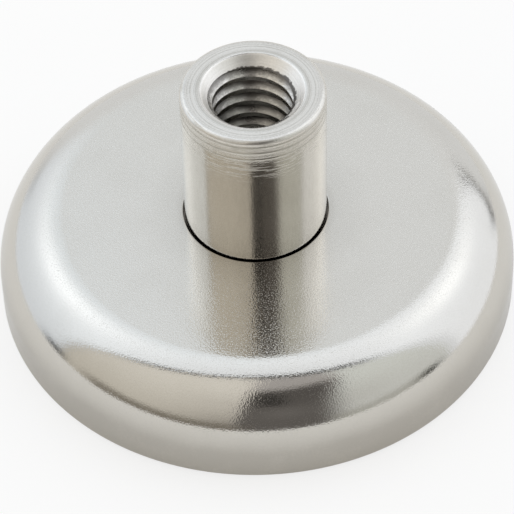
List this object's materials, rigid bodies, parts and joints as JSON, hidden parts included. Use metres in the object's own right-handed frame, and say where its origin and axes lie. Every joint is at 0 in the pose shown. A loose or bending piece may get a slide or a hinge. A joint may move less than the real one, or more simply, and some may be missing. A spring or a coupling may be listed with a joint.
{
  "type": "pot magnet",
  "caption": "Round pot magnet: a low nickel-plated steel cup with a broad rounded shoulder, a magnet potted flat underneath, and an upright bush with an internal thread.",
  "frame": {"origin": "centre of the contact plane, which is the plane of the cup's open rim", "axes": "+Z along the axis of the cup and the bush, from the contact plane out of the bush's mouth; X and Y are free because the part is round"},
  "size_m": [0.022, 0.022, 0.0115],
  "materials": {
    "cup_nickel": "nickel plate, satin on the crown and bright on the rounded shoulder",
    "bush_nickel": "nickel plate over fine turning marks",
    "magnet_nickel": "bright nickel plate",
    "potting_resin": "dark cast resin"
  },
  "bodies": {
    "root": {"steel_cup": "cup_nickel", "threaded_bush": "bush_nickel", "magnet_disc": "magnet_nickel", "resin_ring": "potting_resin"}
  },
  "joints": []
}
